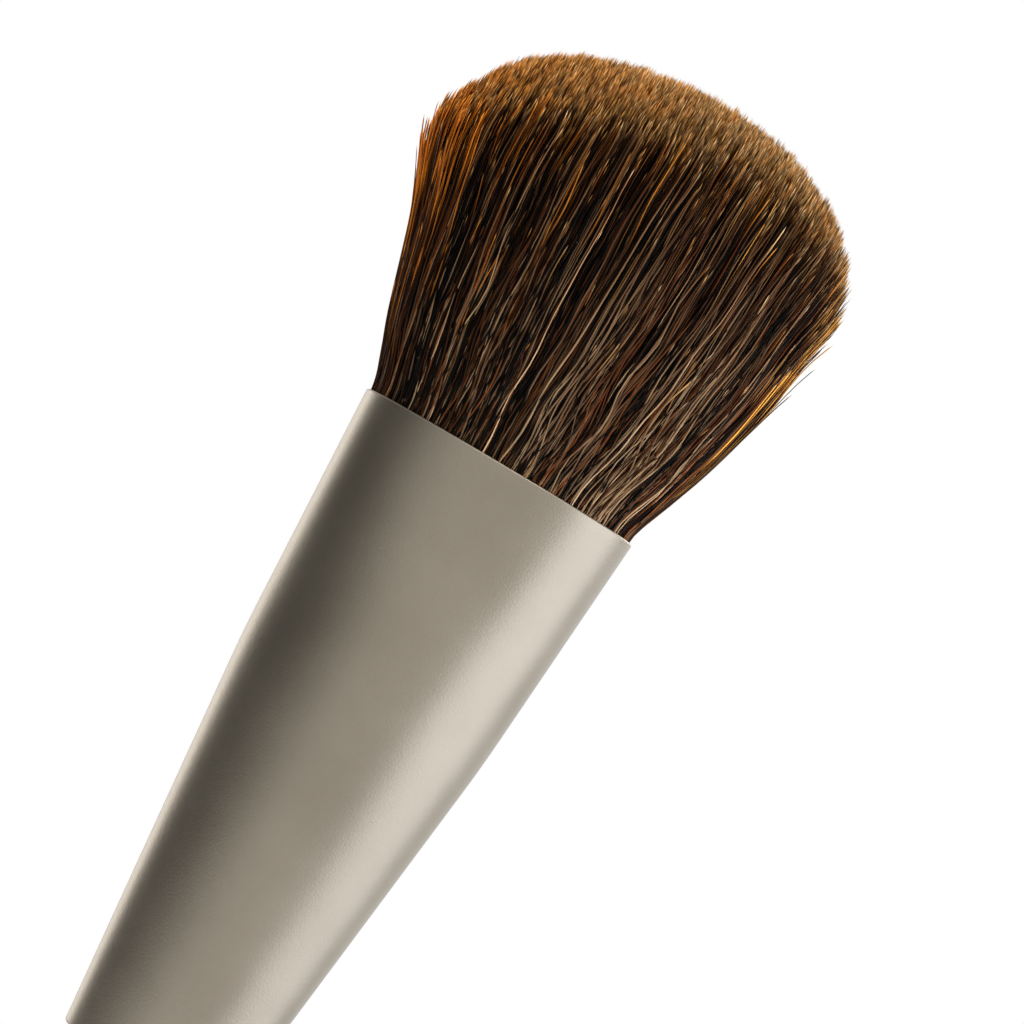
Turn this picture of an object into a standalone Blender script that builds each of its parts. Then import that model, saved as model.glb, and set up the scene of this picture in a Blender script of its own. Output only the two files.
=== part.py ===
"""Foundation brush, standing on the flat end of its handle with the bristles up.

Metres, +Z up along the brush's axis, origin at the centre of the handle's flat end. The wide
side of the bristle head lies along X, so the brush is seen as in the photograph from -Y.
"""

import math

import bmesh
import bpy

MM = 0.001

# Fits
SEAT_GAP = 0.3 * MM
MERGE_DISTANCE = 0.001 * MM

# Handle, turned from one piece of wood with a grooved tenon on its upper end
HANDLE_LENGTH = 84.0 * MM
NECK_RADIUS = 6.45 * MM
NECK_ROUND = 0.4 * MM
BELLY_RADIUS = 6.9 * MM
BELLY_HEIGHT = 60.0 * MM
BUTT_RADIUS = 5.4 * MM
BUTT_ROUND = 0.9 * MM
TENON_LENGTH = 24.0 * MM
TENON_CHAMFER = 0.7 * MM
GROOVE_DEPTH = 0.5 * MM
GROOVE_WIDTH = 1.4 * MM
GROOVE_PITCH = 4.5 * MM
GROOVES = 3

# Collar ring, a polished bead between the handle and the ferrule
COLLAR_RADIUS = 6.95 * MM
COLLAR_HEIGHT = 3.2 * MM
COLLAR_ROUND = 0.8 * MM

# Ferrule, a drawn shell: round at the foot, bent wider, and pressed slightly oval at the mouth
FERRULE_LENGTH = 50.5 * MM
FERRULE_WALL = 0.45 * MM
FOOT_RADIUS = 6.7 * MM
FOOT_ROUND = 0.35 * MM
BEND_RADIUS = 10.0 * MM
BEND_DEPTH = 19.4 * MM
BEND_BLEND = 2.4 * MM
MOUTH_RADIUS = 11.2 * MM
MOUTH_OVAL_SHARE = 0.92
MOUTH_SQUARENESS = 2.4

# Handle socket, a moulded bush wedged in the ferrule's cone, and the adhesive set round the tenon
SOCKET_LEAST_WALL = 0.6 * MM
SOCKET_CAP = 1.6 * MM
SOCKET_VENT_RADIUS = 1.2 * MM
ADHESIVE_THICKNESS = 0.4 * MM

# Roots of the hair: the glued slice, with the thread that binds it in a waist
SLICE_TOP_DEPTH = 6.0 * MM
SLICE_HEIGHT = 11.0 * MM
BINDING_RISE = 3.0 * MM
BINDING_DEPTH = 1.2 * MM
BINDING_TURNS = 4
THREAD_DIAMETER = 0.6 * MM

# Bristle head: outline above the mouth, and the strands that fill it
HEAD_HEIGHT = 30.8 * MM
WIDEST_HEIGHT = 20.0 * MM
WIDEST_RADIUS = 16.6 * MM
HEAD_OVAL_SHARE = 0.83
HEAD_BULGE_SHARE = 0.25
STRANDS = 340
STRAND_ROOT_DEPTH = 0.5 * MM
STRAND_FILL_SHARE = 0.62
STRAND_TAPER_SHARE = 0.7
STRAND_TIP_SHARE = 0.4

# Facets
OUTER_SIDES = 40
INNER_SIDES = 28
ARC_STEPS = 4
CURVE_STEPS = 6
THREAD_STEPS = 3
SHARP_ANGLE = 40

# Heights and radii that follow from the sizes above
collar_bottom = HANDLE_LENGTH + SEAT_GAP
ferrule_bottom = collar_bottom + COLLAR_HEIGHT + SEAT_GAP
mouth_height = ferrule_bottom + FERRULE_LENGTH
bend_height = mouth_height - BEND_DEPTH
foot_bore = FOOT_RADIUS - FERRULE_WALL
lower_slope = (BEND_RADIUS - FOOT_RADIUS) / (FERRULE_LENGTH - BEND_DEPTH)
upper_slope = (MOUTH_RADIUS - BEND_RADIUS) / BEND_DEPTH
adhesive_bore = foot_bore - SEAT_GAP - ADHESIVE_THICKNESS
tenon_radius = adhesive_bore - SEAT_GAP
tenon_top = HANDLE_LENGTH + TENON_LENGTH
socket_bottom = ferrule_bottom + (SOCKET_LEAST_WALL + SEAT_GAP) / lower_slope
socket_roof = tenon_top + SEAT_GAP
socket_top = socket_roof + SOCKET_CAP
slice_top = mouth_height - SLICE_TOP_DEPTH
slice_bottom = slice_top - SLICE_HEIGHT
binding_bottom = slice_bottom + BINDING_RISE
binding_top = binding_bottom + BINDING_TURNS * THREAD_DIAMETER
golden_angle = math.pi * (3 - math.sqrt(5))


def arc(centre, radius, start, end, steps=ARC_STEPS):
    """Points of an arc in the profile plane, from one angle in degrees to the other."""
    points = []
    for step in range(steps + 1):
        angle = math.radians(start + (end - start) * step / steps)
        points.append((centre[0] + radius * math.cos(angle), centre[1] + radius * math.sin(angle)))
    return points


def spread(first, last, steps):
    """Evenly spaced values from the first to the last."""
    return [first + (last - first) * step / steps for step in range(steps + 1)]


def bounded(share):
    return min(max(share, 0), 1)


def eased(share):
    """Rises from 0 to 1 with no slope at either end."""
    return (1 - math.cos(math.pi * share)) / 2


def ferrule_radius(height):
    """Outer radius of the ferrule: two straight tapers with a soft bend between them."""
    below = bend_height - height
    if below <= -BEND_BLEND:
        return BEND_RADIUS - upper_slope * below
    if below >= BEND_BLEND:
        return BEND_RADIUS - lower_slope * below
    rounding = (lower_slope - upper_slope) * (below**2 + BEND_BLEND**2) / (4 * BEND_BLEND)
    return BEND_RADIUS - (upper_slope + lower_slope) / 2 * below - rounding


def ferrule_bore(height):
    return ferrule_radius(height) - FERRULE_WALL


def ferrule_heights(top, bottom):
    """From top to bottom, with the heights of the ferrule's rings that lie between."""
    rings = spread(mouth_height, bend_height + BEND_BLEND, 5)
    rings += spread(bend_height + BEND_BLEND, bend_height - BEND_BLEND, 4)[1:]
    rings += spread(bend_height - BEND_BLEND, ferrule_bottom, 3)[1:]
    between = [ring for ring in rings if bottom + SEAT_GAP < ring < top - SEAT_GAP]
    return [top, *between, bottom]


def section_share(angle, height):
    """Distance from the axis at an angle from X, as a share of the distance along X.

    The foot is round. The press makes the mouth an oval with slightly flattened sides, and the
    bristle head goes from that shape to a plain oval where it is widest.
    """
    pressed = eased(bounded((height - bend_height) / BEND_DEPTH))
    fanned = bounded((height - mouth_height) / WIDEST_HEIGHT)
    oval = 1 + (MOUTH_OVAL_SHARE - 1) * pressed + (HEAD_OVAL_SHARE - MOUTH_OVAL_SHARE) * fanned
    power = 2 + (MOUTH_SQUARENESS - 2) * pressed * (1 - fanned)
    total = abs(math.cos(angle)) ** power + abs(math.sin(angle) / oval) ** power
    return total ** (-1 / power)


def bundle_radius(height):
    """Outline of the hair along X: up the ferrule's bore, then fanned out to the widest place."""
    if height <= mouth_height:
        return ferrule_bore(height) - SEAT_GAP
    at_mouth = ferrule_bore(mouth_height) - SEAT_GAP
    share = bounded((height - mouth_height) / WIDEST_HEIGHT)
    return at_mouth + (WIDEST_RADIUS - at_mouth) * share * (1 + HEAD_BULGE_SHARE * (1 - share))


def make_collection(name):
    collection = bpy.data.collections.new(name)
    bpy.context.scene.collection.children.link(collection)
    return collection


def make_material(name, colour, roughness, metallic):
    material = bpy.data.materials.new(name)
    material.use_nodes = True
    shader = material.node_tree.nodes["Principled BSDF"]
    shader.inputs["Base Color"].default_value = (*colour, 1)
    shader.inputs["Roughness"].default_value = roughness
    shader.inputs["Metallic"].default_value = metallic
    return material


def add_object(name, data, collection, material=None):
    made = bpy.data.objects.new(name, data)
    collection.objects.link(made)
    if material:
        made.data.materials.append(material)
    return made


def real_mesh(source):
    """The mesh of an object as its modifiers or bevel make it, welded and facing outwards."""
    bpy.context.view_layer.update()
    evaluated = source.evaluated_get(bpy.context.evaluated_depsgraph_get())
    mesh = bpy.data.meshes.new_from_object(evaluated)
    shape = bmesh.new()
    shape.from_mesh(mesh)
    bmesh.ops.remove_doubles(shape, verts=shape.verts, dist=MERGE_DISTANCE)
    bmesh.ops.recalc_face_normals(shape, faces=shape.faces)
    shape.to_mesh(mesh)
    shape.free()
    return mesh


def turned(name, profile, sides, collection, material, closed=False):
    """A turned solid. The profile runs down its outer side; a closed one comes back up its bore.

    The turned points are then moved in or out as the press moved the ferrule that holds them.
    """
    edges = [(index, index + 1) for index in range(len(profile) - 1)]
    if closed:
        edges.append((len(profile) - 1, 0))
    outline = bpy.data.meshes.new(name + "_profile")
    outline.from_pydata([(radius, 0, height) for radius, height in profile], edges, [])
    blank = add_object(name + "_blank", outline, collection)
    screw = blank.modifiers.new("Turn", "SCREW")
    screw.steps = sides
    screw.render_steps = sides
    screw.use_merge_vertices = True
    screw.merge_threshold = MERGE_DISTANCE
    mesh = real_mesh(blank)
    bpy.data.objects.remove(blank)
    for vertex in mesh.vertices:
        x, y, z = vertex.co
        share = section_share(math.atan2(y, x), z)
        vertex.co = (x * share, y * share, z)
    mesh.name = name
    mesh.shade_smooth()
    mesh.set_sharp_from_angle(angle=math.radians(SHARP_ANGLE))
    return add_object(name, mesh, collection, material)


def groove_heights():
    """Middles of the tenon's grooves, spaced down from its top."""
    return [tenon_top - GROOVE_PITCH * (groove + 1) for groove in range(GROOVES)]


def grooved(radius):
    """A line down a tenon of this radius, or down the adhesive that fills its grooves."""
    points = []
    for middle in groove_heights():
        points.append((radius, middle + GROOVE_WIDTH / 2))
        points.append((radius - GROOVE_DEPTH, middle))
        points.append((radius, middle - GROOVE_WIDTH / 2))
    return points


def make_handle(parts, wood):
    """Tenon, rounded shoulder, belly and flat end, from the top down."""
    profile = [(0, tenon_top), (tenon_radius - TENON_CHAMFER, tenon_top)]
    profile.append((tenon_radius, tenon_top - TENON_CHAMFER))
    profile += grooved(tenon_radius)
    profile.append((tenon_radius, HANDLE_LENGTH))
    neck = HANDLE_LENGTH - NECK_ROUND
    profile += arc((NECK_RADIUS - NECK_ROUND, neck), NECK_ROUND, 90, 0, 3)
    for share in spread(0, 1, CURVE_STEPS)[1:]:
        radius = NECK_RADIUS + (BELLY_RADIUS - NECK_RADIUS) * eased(share)
        profile.append((radius, neck + (BELLY_HEIGHT - neck) * share))
    for share in spread(0, 1, CURVE_STEPS)[1:-1]:
        radius = BELLY_RADIUS + (BUTT_RADIUS - BELLY_RADIUS) * eased(share)
        profile.append((radius, BELLY_HEIGHT + (BUTT_ROUND - BELLY_HEIGHT) * share))
    profile += arc((BUTT_RADIUS - BUTT_ROUND, BUTT_ROUND), BUTT_ROUND, 0, -90)
    profile.append((0, 0))
    return turned("handle", profile, OUTER_SIDES, parts, wood)


def make_collar(parts, polished):
    """A bead ring: its bore runs on the tenon, and its rounded outside stands proud."""
    top = collar_bottom + COLLAR_HEIGHT
    round_at = COLLAR_RADIUS - COLLAR_ROUND
    profile = arc((round_at, top - COLLAR_ROUND), COLLAR_ROUND, 90, 0)
    profile += arc((round_at, collar_bottom + COLLAR_ROUND), COLLAR_ROUND, 0, -90)
    profile += [(tenon_radius + SEAT_GAP, collar_bottom), (tenon_radius + SEAT_GAP, top)]
    return turned("collar_ring", profile, OUTER_SIDES, parts, polished, closed=True)


def make_ferrule(parts, satin):
    """The shell, with a full-round lip at its mouth and a softened edge at its foot."""
    lip = FERRULE_WALL / 2
    heights = ferrule_heights(mouth_height - lip, ferrule_bottom)
    foot_top = ferrule_bottom + FOOT_ROUND
    profile = arc((ferrule_radius(heights[0]) - lip, heights[0]), lip, 180, 0)
    profile += [(ferrule_radius(height), height) for height in heights[1:-1]]
    profile += arc((ferrule_radius(foot_top) - FOOT_ROUND, foot_top), FOOT_ROUND, 0, -90, 3)
    profile += [(ferrule_bore(height), height) for height in reversed(heights[1:])]
    return turned("ferrule", profile, OUTER_SIDES, parts, satin, closed=True)


def make_socket(parts, plastic):
    """Bush between the tenon and the ferrule's cone, closed over the tenon but for a vent."""
    profile = [(SOCKET_VENT_RADIUS, socket_top)]
    profile += [(ferrule_bore(height) - SEAT_GAP, height) for height in (socket_top, socket_bottom)]
    profile += [(foot_bore, socket_bottom), (foot_bore, socket_roof)]
    profile.append((SOCKET_VENT_RADIUS, socket_roof))
    return turned("handle_socket", profile, INNER_SIDES, parts, plastic, closed=True)


def make_adhesive(parts, glue):
    """Set glue round the tenon: thin in the socket, and wide in the cone below it."""
    step = socket_bottom - SEAT_GAP
    thin = foot_bore - SEAT_GAP
    profile = [(thin, tenon_top), (thin, step), (ferrule_bore(step) - SEAT_GAP, step)]
    profile += [(thin, ferrule_bottom), (adhesive_bore, ferrule_bottom)]
    profile += reversed(grooved(adhesive_bore))
    profile.append((adhesive_bore, tenon_top))
    return turned("tenon_adhesive", profile, INNER_SIDES, parts, glue, closed=True)


def make_epoxy(parts, resin):
    """Epoxy poured on the socket, up to the roots of the hair."""
    heights = ferrule_heights(slice_bottom - SEAT_GAP, socket_top + SEAT_GAP)
    profile = [(0, heights[0])]
    profile += [(ferrule_bore(height) - SEAT_GAP, height) for height in heights]
    profile.append((0, heights[-1]))
    return turned("knot_epoxy", profile, INNER_SIDES, parts, resin)


def waist_radius():
    """Radius of the waist that the binding draws in."""
    return ferrule_bore(binding_bottom) - SEAT_GAP - BINDING_DEPTH


def make_binding(parts, thread):
    """Turns of thread wound side by side round the waist, lying together as one ring."""
    inner = waist_radius() + SEAT_GAP
    round_radius = THREAD_DIAMETER / 2
    profile = []
    for turn in range(BINDING_TURNS):
        middle = binding_top - (turn + 0.5) * THREAD_DIAMETER
        profile += arc((inner + round_radius, middle), round_radius, 75, -75, THREAD_STEPS)
    profile += [(inner, binding_bottom), (inner, binding_top)]
    return turned("knot_binding", profile, INNER_SIDES, parts, thread, closed=True)


def make_slice(parts, hair):
    """The glued roots, as wide as the ferrule's bore but for the waist."""
    waist = waist_radius()
    profile = [(0, slice_top)]
    for height in ferrule_heights(slice_top, binding_top + SEAT_GAP):
        profile.append((bundle_radius(height), height))
    profile += [(waist, binding_top + SEAT_GAP), (waist, binding_bottom - SEAT_GAP)]
    for height in ferrule_heights(binding_bottom - SEAT_GAP, slice_bottom):
        profile.append((bundle_radius(height), height))
    profile.append((0, slice_bottom))
    return turned("bristle_knot", profile, INNER_SIDES, parts, hair)


def strand_radius(height):
    """Radius of a strand, which grows as the bundle spreads so that the head stays full."""
    return STRAND_FILL_SHARE * bundle_radius(height) / math.sqrt(STRANDS)


def strand_point(share, angle, height):
    """Where a strand at this share of the bundle's radius passes a height."""
    reach = share * (bundle_radius(height) - strand_radius(height)) * section_share(angle, height)
    return (reach * math.cos(angle), reach * math.sin(angle), height, 1)


def make_strands(cutters):
    """All strands as separate three-sided tubes, up from the slice to a domed head.

    Each strand keeps its share of the bundle's radius and its angle, so none crosses another.
    Strand n lies n golden angles round, at the square root of its share of the count, which
    spaces the strands alike over the whole section.
    """
    section = bpy.data.curves.new("strand_section", "CURVE")
    section.dimensions = "2D"
    triangle = section.splines.new("POLY")
    triangle.points.add(2)
    for point, angle in zip(triangle.points, (0, 120, 240)):
        point.co = (math.cos(math.radians(angle)), math.sin(math.radians(angle)), 0, 1)
    triangle.use_cyclic_u = True
    paths = bpy.data.curves.new("strand_paths", "CURVE")
    paths.dimensions = "3D"
    paths.bevel_mode = "OBJECT"
    paths.bevel_object = add_object("strand_section", section, cutters)
    paths.use_fill_caps = True
    for index in range(STRANDS):
        share = math.sqrt((index + 0.5) / STRANDS)
        angle = index * golden_angle
        dome = (HEAD_HEIGHT - WIDEST_HEIGHT) * math.sqrt(1 - share**2)
        tip = mouth_height + WIDEST_HEIGHT + dome
        taper = mouth_height + STRAND_TAPER_SHARE * (tip - mouth_height)
        line = paths.splines.new("POLY")
        line.points.add(3)
        for point, height in zip(line.points, (slice_top - STRAND_ROOT_DEPTH, mouth_height, taper, tip)):
            point.co = strand_point(share, angle, height)
            point.radius = strand_radius(height)
        line.points[-1].radius *= STRAND_TIP_SHARE
    tubes = add_object("strand_tubes", paths, cutters)
    strands = add_object("strands", real_mesh(tubes), cutters)
    bpy.data.objects.remove(tubes)
    bpy.data.objects.remove(paths.bevel_object)
    return strands


def make_knot(parts, cutters, hair):
    """The bristles, fused to the slice of their glued roots."""
    knot = make_slice(parts, hair)
    strands = make_strands(cutters)
    strands.hide_render = True
    strands.display_type = "WIRE"
    joined = knot.modifiers.new("Strands", "BOOLEAN")
    joined.operation = "UNION"
    joined.solver = "EXACT"
    joined.object = strands
    return knot


def main():
    for old in list(bpy.data.objects):
        bpy.data.objects.remove(old)
    parts = make_collection("foundation_brush")
    cutters = make_collection("cutters")
    make_handle(parts, make_material("handle_lacquer", (0.022, 0.014, 0.011), 0.18, 0))
    make_collar(parts, make_material("polished_metal", (0.78, 0.76, 0.73), 0.12, 1))
    make_ferrule(parts, make_material("satin_champagne", (0.42, 0.38, 0.31), 0.38, 0.9))
    make_socket(parts, make_material("moulded_plastic", (0.55, 0.55, 0.53), 0.5, 0))
    make_adhesive(parts, make_material("set_glue", (0.75, 0.7, 0.55), 0.4, 0))
    make_epoxy(parts, make_material("set_epoxy", (0.6, 0.45, 0.22), 0.25, 0))
    make_binding(parts, make_material("binding_thread", (0.72, 0.68, 0.6), 0.85, 0))
    make_knot(parts, cutters, make_material("brown_hair", (0.09, 0.045, 0.02), 0.5, 0))


main()
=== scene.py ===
import math

import bpy
import numpy as np
from mathutils import Matrix, Vector


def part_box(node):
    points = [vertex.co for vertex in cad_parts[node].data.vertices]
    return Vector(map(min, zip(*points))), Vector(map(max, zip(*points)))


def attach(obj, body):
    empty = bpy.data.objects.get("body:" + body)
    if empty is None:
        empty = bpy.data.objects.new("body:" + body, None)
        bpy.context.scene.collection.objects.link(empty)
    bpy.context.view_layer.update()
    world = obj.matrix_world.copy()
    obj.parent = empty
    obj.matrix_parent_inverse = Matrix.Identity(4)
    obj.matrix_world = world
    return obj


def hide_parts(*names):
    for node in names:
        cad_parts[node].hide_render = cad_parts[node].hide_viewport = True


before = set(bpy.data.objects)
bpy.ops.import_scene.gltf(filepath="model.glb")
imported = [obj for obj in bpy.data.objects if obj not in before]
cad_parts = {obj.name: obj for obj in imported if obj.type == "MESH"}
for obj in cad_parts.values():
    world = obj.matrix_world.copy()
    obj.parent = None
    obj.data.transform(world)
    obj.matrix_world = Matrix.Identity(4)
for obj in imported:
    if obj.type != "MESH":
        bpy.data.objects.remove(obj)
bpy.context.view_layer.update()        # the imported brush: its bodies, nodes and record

mm = 0.001
body = "root"

# Main places, read from the frame
ferruleLow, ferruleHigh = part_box("ferrule")
collarLow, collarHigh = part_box("collar_ring")
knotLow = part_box("bristle_knot")[0]
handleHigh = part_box("handle")[1]
mouthHeight = ferruleHigh.z
mouthRadius = ferruleHigh.x
mouthOval = ferruleHigh.y / ferruleHigh.x
print("frame loaded, mouth at", round(mouthHeight / mm, 1), "mm")


# Camera

view = {
    "frame": 1024,              # pixels on each side of the photograph
    "mouthAt": (499.6, 467.0),  # where the middle of the ferrule's mouth is in it
    "axisTurn": 30.65,          # degrees that the brush's axis leans to the right in it
    "pixel": 0.0727 * mm,       # real size of a pixel at the brush
    "lookUp": 1.3,              # degrees that the camera looks up at the brush
    "lens": 180,                # millimetres
    "sensor": 36,
}


# The camera's right and up are the brush's own X and Z turned by the lean, about a line of
# sight along +Y that rises by lookUp. It aims at the mouth less its offset from the middle.
def makeCamera():
    rise = math.radians(view["lookUp"])
    turn = math.radians(view["axisTurn"])
    forward = Vector((0, math.cos(rise), math.sin(rise)))
    along = Vector((0, -math.sin(rise), math.cos(rise)))
    across = Vector((1, 0, 0))
    right = across * math.cos(turn) + along * math.sin(turn)
    up = along * math.cos(turn) - across * math.sin(turn)
    shiftRight = (view["mouthAt"][0] - view["frame"] / 2) * view["pixel"]
    shiftUp = (view["frame"] / 2 - view["mouthAt"][1]) * view["pixel"]
    aim = Vector((0, 0, mouthHeight)) - right * shiftRight - up * shiftUp
    distance = view["frame"] * view["pixel"] * view["lens"] / view["sensor"]
    place = aim - forward * distance
    data = bpy.data.cameras.new("camera")
    data.lens = view["lens"]
    data.sensor_width = view["sensor"]
    data.clip_start = 10 * mm
    camera = bpy.data.objects.new("camera", data)
    camera.matrix_world = Matrix((
        (right.x, up.x, -forward.x, place.x),
        (right.y, up.y, -forward.y, place.y),
        (right.z, up.z, -forward.z, place.z),
        (0, 0, 0, 1),
    ))
    bpy.context.scene.collection.objects.link(camera)
    bpy.context.scene.camera = camera


makeCamera()
print("camera placed")


# Mesh helpers

# An object of smooth faces, from its points, all faces' corners in one row and where in that row
# each face starts.
def addMesh(name, points, corners, starts):
    mesh = bpy.data.meshes.new(name)
    mesh.vertices.add(len(points))
    mesh.vertices.foreach_set("co", np.asarray(points, np.float32).ravel())
    mesh.loops.add(len(corners))
    mesh.loops.foreach_set("vertex_index", np.asarray(corners, np.int32))
    mesh.polygons.add(len(starts))
    mesh.polygons.foreach_set("loop_start", np.asarray(starts, np.int32))
    mesh.update(calc_edges=True)
    mesh.shade_smooth()
    piece = bpy.data.objects.new(name, mesh)
    bpy.context.scene.collection.objects.link(piece)
    return piece


# Points of an arc, from one angle in degrees to the other, as rows of radius and height.
def arcPoints(centre, radius, start, end, count):
    angle = np.radians(np.linspace(start, end, count))
    return np.stack([centre[0] + radius * np.cos(angle), centre[1] + radius * np.sin(angle)], 1)


# A turned surface: each profile point (radius, height) goes round in equal steps of angle, its
# radius times the section's share at that angle and height. A ring profile joins its end to its
# start; any other starts and ends on the axis and is closed there with one point each.
def turnProfile(name, profile, columns, ring=False):
    angle = np.arange(columns) * 2 * np.pi / columns
    radius, height = profile[:, :1], profile[:, 1:]
    if not ring:
        radius, height = radius[1:-1], height[1:-1]
    reach = radius * sectionShare(angle, height)
    points = np.stack([reach * np.cos(angle), reach * np.sin(angle), height + 0 * angle], 2)
    rows = len(points)
    index = np.arange(rows * columns).reshape(rows, columns)
    upper = index if ring else index[:-1]
    lower = np.roll(index, -1, 0) if ring else index[1:]
    quads = np.stack([upper, lower, np.roll(lower, -1, 1), np.roll(upper, -1, 1)], 2)
    quads = quads.reshape(-1, 4)
    points = points.reshape(-1, 3)
    corners, starts = quads.ravel(), np.arange(len(quads)) * 4
    if not ring:
        poles = [[0, 0, profile[0, 1]], [0, 0, profile[-1, 1]]]
        top, low = rows * columns, rows * columns + 1
        points = np.concatenate([points, poles])
        first = np.stack([np.full(columns, top), index[0], np.roll(index[0], -1)], 1)
        last = np.stack([np.full(columns, low), np.roll(index[-1], -1), index[-1]], 1)
        fans = np.concatenate([first, last])
        starts = np.concatenate([starts, len(corners) + np.arange(len(fans)) * 3])
        corners = np.concatenate([corners, fans.ravel()])
    return addMesh(name, points, corners, starts)


# Section and outline of the brush, shared by the ferrule and the hair

ferrule = {
    "wall": 0.45 * mm,
    "lipRound": 0.16 * mm,
    "footRadius": 6.7 * mm,
    "footRound": 0.25 * mm,
    "bendRadius": 10.0 * mm,
    "bendDepth": 19.4 * mm,    # from the mouth down to the soft bend
    "bendBlend": 2.4 * mm,     # half the length over which it bends
    "squareness": 2.4,         # 2 is a plain oval
    "columns": 192,
    "wallRows": 70,
    "boreRows": 50,
    "lipRows": 6,              # of the lip's inner quarter
    "roundRows": 8,            # of its outer quarter and of the foot's
}
head = {
    "widestHeight": 20.2 * mm,  # above the mouth
    "widestRadius": 16.5 * mm,
    "sideShift": -0.15 * mm,    # of the widest place along X
    "oval": 0.83,               # depth over width
    "bulge": 0.25,              # of the outline halfway up, beyond a straight fan
    "start": 0.08,              # share of the way up in which the hair leaves the ferrule
    "domeHeight": 10.9 * mm,
    "domeShift": -0.6 * mm,     # of the dome's middle along X
    "domeOval": 1.07,           # depth of the dome over its width
    "twist": 4.0 * mm,          # lowers the dome at the front left, raises it at the front right
}
bendHeight = mouthHeight - ferrule["bendDepth"]


# Held between 0 and 1.
def clipped(share):
    return np.clip(share, 0, 1)


# 0 up to the start, then straight up to 1 over the length.
def rising(value, start, length):
    return clipped((value - start) / length)


# Half a cosine wave from 0 to 1.
def eased(share):
    return (1 - np.cos(np.pi * clipped(share))) / 2


# Distance from the axis at an angle from X, as a share of the distance along X: a superellipse
# whose depth and squareness go from the round foot to the pressed mouth and on to the oval head.
def sectionShare(angle, height):
    pressed = eased((height - bendHeight) / ferrule["bendDepth"])
    fanned = rising(height, mouthHeight, head["widestHeight"])
    oval = 1 + (mouthOval - 1) * pressed + (head["oval"] - mouthOval) * fanned
    power = 2 + (ferrule["squareness"] - 2) * pressed * (1 - fanned)
    total = np.abs(np.cos(angle)) ** power + np.abs(np.sin(angle) / oval) ** power
    return total ** (-1 / power)


# Outer radius of the ferrule: two straight tapers, joined by a parabola over the bend.
def ferruleRadius(height):
    depth, blend = ferrule["bendDepth"], ferrule["bendBlend"]
    upper = (mouthRadius - ferrule["bendRadius"]) / depth
    lower = (ferrule["bendRadius"] - ferrule["footRadius"]) / (bendHeight - ferruleLow.z)
    below = bendHeight - height
    curve = (lower - upper) * (below ** 2 + blend ** 2) / (4 * blend)
    bent = ferrule["bendRadius"] - (upper + lower) / 2 * below - curve
    straight = ferrule["bendRadius"] - np.where(below < 0, upper, lower) * below
    return np.where(np.abs(below) < blend, bent, straight)


# Outline of the hair along X: the ferrule's bore up to the mouth, then fanned out to the widest
# place by a straight line with a bulge, which sets in by an exponential.
def bundleRadius(height):
    inside = ferruleRadius(np.minimum(height, mouthHeight)) - ferrule["wall"]
    share = rising(height, mouthHeight, head["widestHeight"])
    leaving = 1 - np.exp(-share / head["start"])
    fan = share * (1 + head["bulge"] * (1 - share)) * leaving
    return inside + (head["widestRadius"] - inside) * fan


# Materials

# An sRGB colour in hex as linear red, green, blue and full alpha: a straight line near black, and
# a power above it.
def hexColour(text):
    values = [int(text[at:at + 2], 16) / 255 for at in (0, 2, 4)]
    return [v / 12.92 if v <= 0.04045 else ((v + 0.055) / 1.055) ** 2.4 for v in values] + [1]


shaderSockets = {
    # what a piece's dictionary calls it: what the shader does
    "roughness": "Roughness",
    "metallic": "Metallic",
    "coat": "Coat Weight",
    "coatRoughness": "Coat Roughness",
    "specular": "Specular IOR Level",
}


# A material whose shader has the numbers that the finish names, and keeps its own for the rest.
def newMaterial(name, finish):
    material = bpy.data.materials.new(name)
    material.use_nodes = True
    tree = material.node_tree
    shader = tree.nodes["Principled BSDF"]
    for key, socket in shaderSockets.items():
        if key in finish:
            shader.inputs[socket].default_value = finish[key]
    return material, tree, shader


# Feeds a node's inputs, by name or number: a link where the value is a socket, else a constant.
def feed(tree, node, values):
    for name, value in values.items():
        if hasattr(value, "links"):
            tree.links.new(value, node.inputs[name])
        else:
            node.inputs[name].default_value = value


# A node with these settings, and these values at its inputs.
def addNode(tree, kind, settings=None, values=None):
    made = tree.nodes.new(kind)
    for name, value in (settings or {}).items():
        setattr(made, name, value)
    feed(tree, made, values or {})
    return made


# A factor from 0 to 1 picks one of the colours, each over an equal step.
def addSteps(tree, colours, factor):
    ramp = addNode(tree, "ShaderNodeValToRGB", values={"Fac": factor})
    ramp.color_ramp.interpolation = "CONSTANT"
    elements = ramp.color_ramp.elements
    while len(elements) < len(colours):
        elements.new(0.5)
    for number, colour in enumerate(colours):
        elements[number].position = number / len(colours)
        elements[number].color = hexColour(colour)
    return ramp.outputs["Color"]


# The first colour, blended with the second by the factor.
def addMix(tree, factor, first, second, blend="MIX"):
    mix = addNode(tree, "ShaderNodeMix", {"data_type": "RGBA", "blend_type": blend})
    numbers = [number for number, socket in enumerate(mix.inputs) if socket.enabled]
    feed(tree, mix, dict(zip(numbers, (factor, first, second))))
    return [socket for socket in mix.outputs if socket.enabled][0]


# One step of arithmetic, held between 0 and 1 where clamped.
def addMaths(tree, operation, first, second=0.0, clamp=False):
    settings = {"operation": operation, "use_clamp": clamp}
    return addNode(tree, "ShaderNodeMath", settings, {0: first, 1: second}).outputs[0]


# Product of all its values.
def addProduct(tree, first, *others):
    for other in others:
        first = addMaths(tree, "MULTIPLY", first, other)
    return first


# Goes from result's first number to its second as the value goes over the span, straight or,
# where smooth, eased at both ends, and is level beyond it.
def addRange(tree, value, span, result=(0.0, 1.0), smooth=False):
    settings = {"interpolation_type": "SMOOTHSTEP" if smooth else "LINEAR"}
    values = dict(enumerate((value, *span, *result)))
    return addNode(tree, "ShaderNodeMapRange", settings, values).outputs["Result"]


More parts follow.
